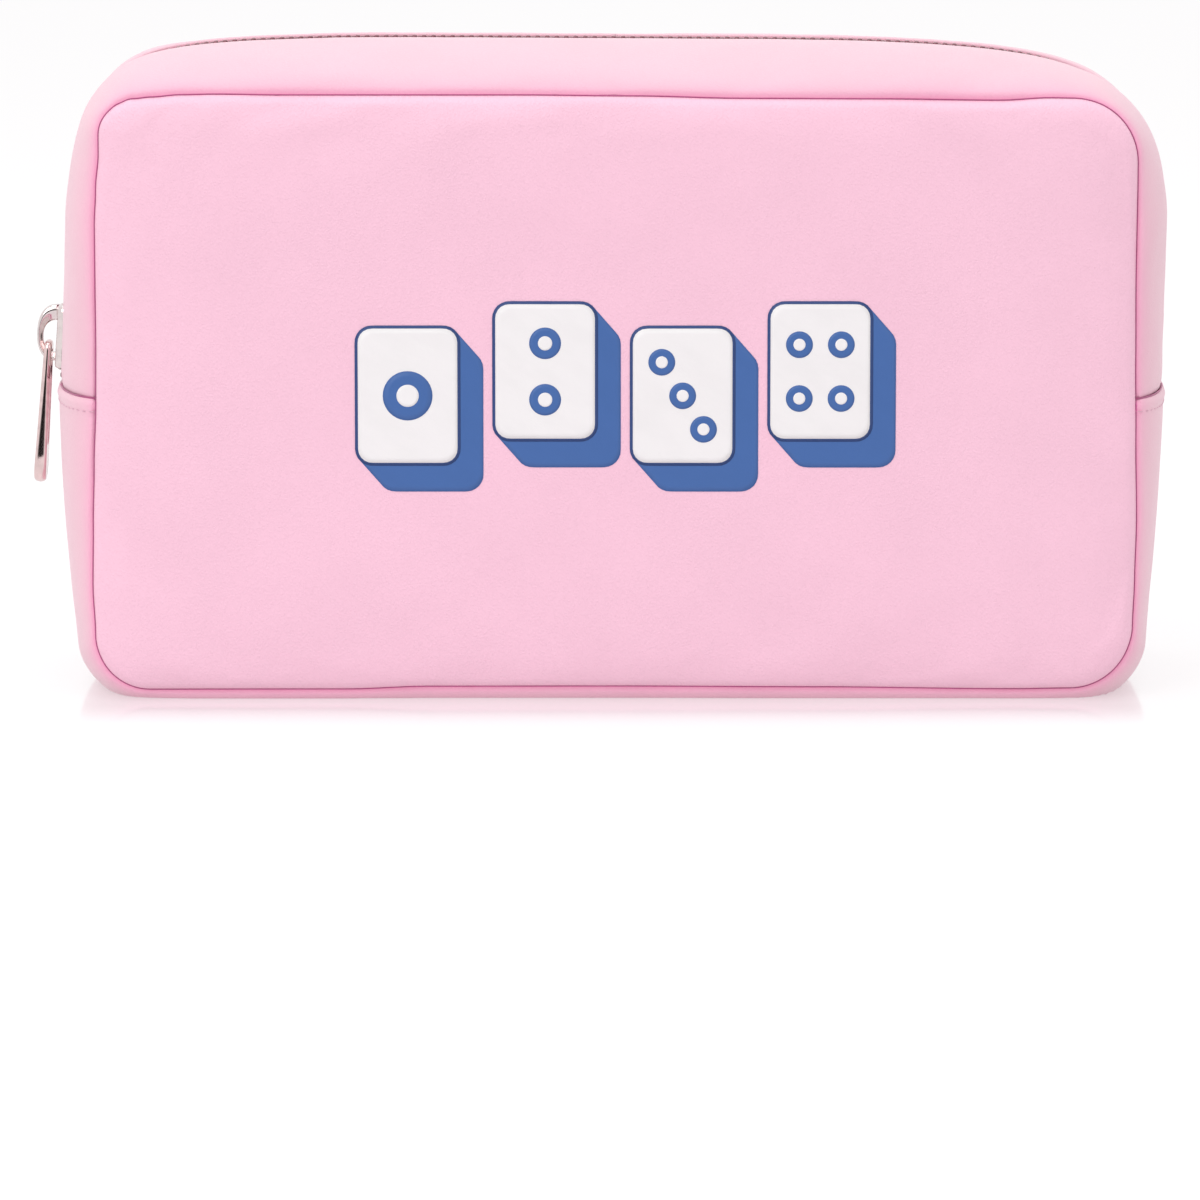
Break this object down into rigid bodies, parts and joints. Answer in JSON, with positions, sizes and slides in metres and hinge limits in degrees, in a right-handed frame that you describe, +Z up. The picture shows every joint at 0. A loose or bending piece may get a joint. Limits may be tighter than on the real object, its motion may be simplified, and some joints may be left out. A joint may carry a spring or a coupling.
{
  "type": "mahjong tile bag",
  "caption": "Padded zip-top storage bag for mahjong tiles, with crowned panels, a wrap-round gusset, a sliding zip slider, a swinging pull and a mouth that folds open.",
  "frame": {"origin": "middle of the flat underside, on the surface that the bag stands on", "axes": "+X to the right seen from the front, +Y to the back, +Z up"},
  "size_m": [0.2844, 0.083, 0.1617],
  "materials": {
    "panel_leather": "pale pink fine-grain coated leather cloth, soft satin",
    "gusset_leather": "pale pink fine-grain coated leather cloth, soft satin",
    "foam": "matt open-cell padding",
    "lining_nylon": "plain-woven nylon, slight sheen",
    "zip_tape": "herringbone-woven tape, matt",
    "zip_coil": "gold-coated coil, gloss",
    "slider_metal": "polished",
    "pull_metal": "polished, slightly rosy"
  },
  "bodies": {
    "bag": {"front_panel": "panel_leather", "front_panel_foam": "foam", "front_panel_lining": "lining_nylon", "back_panel": "panel_leather", "back_panel_foam": "foam", "back_panel_lining": "lining_nylon", "lower_gusset": "gusset_leather", "lower_gusset_foam": "foam", "lower_gusset_lining": "lining_nylon", "front_zip_left_strip": "gusset_leather", "front_zip_left_tape": "zip_tape", "front_zip_left_coil": "zip_coil", "front_zip_left_lining": "lining_nylon", "front_zip_right_strip": "gusset_leather", "front_zip_right_tape": "zip_tape", "front_zip_right_coil": "zip_coil", "front_zip_right_lining": "lining_nylon", "back_zip_left_strip": "gusset_leather", "back_zip_left_tape": "zip_tape", "back_zip_left_coil": "zip_coil", "back_zip_left_lining": "lining_nylon", "back_zip_right_strip": "gusset_leather", "back_zip_right_tape": "zip_tape", "back_zip_right_coil": "zip_coil", "back_zip_right_lining": "lining_nylon"},
    "front_mouth_fold": {"front_zip_top_strip": "gusset_leather", "front_zip_top_tape": "zip_tape", "front_zip_top_coil": "zip_coil", "front_zip_top_lining": "lining_nylon"},
    "back_mouth_fold": {"back_zip_top_strip": "gusset_leather", "back_zip_top_tape": "zip_tape", "back_zip_top_coil": "zip_coil", "back_zip_top_lining": "lining_nylon"},
    "zip_slider": {"slider_body": "slider_metal", "slider_bail": "slider_metal"},
    "zip_pull": {"pull_tab": "pull_metal"}
  },
  "joints": [
    {"name": "zip_slide", "type": "slide", "parent": "bag", "child": "zip_slider", "axis": [0.0586, 0, 0.9983], "range_m": [0, 0.028]},
    {"name": "pull_swing", "type": "hinge", "parent": "zip_slider", "child": "zip_pull", "pos_m": [-0.14288, 0, 0.08348], "axis": [0, 1, 0], "range_deg": [0, 170]},
    {"name": "front_mouth", "type": "hinge", "parent": "bag", "child": "front_mouth_fold", "pos_m": [0, -0.037, 0.1494], "axis": [1, 0, 0], "range_deg": [0, 80]},
    {"name": "back_mouth", "type": "hinge", "parent": "bag", "child": "back_mouth_fold", "pos_m": [0, 0.037, 0.1494], "axis": [-1, 0, 0], "range_deg": [0, 80]}
  ],
  "couplings": [
    {"joint": "front_mouth", "follows": "zip_slide", "rad_per_m": 49.8},
    {"joint": "back_mouth", "follows": "zip_slide", "rad_per_m": 49.8}
  ]
}
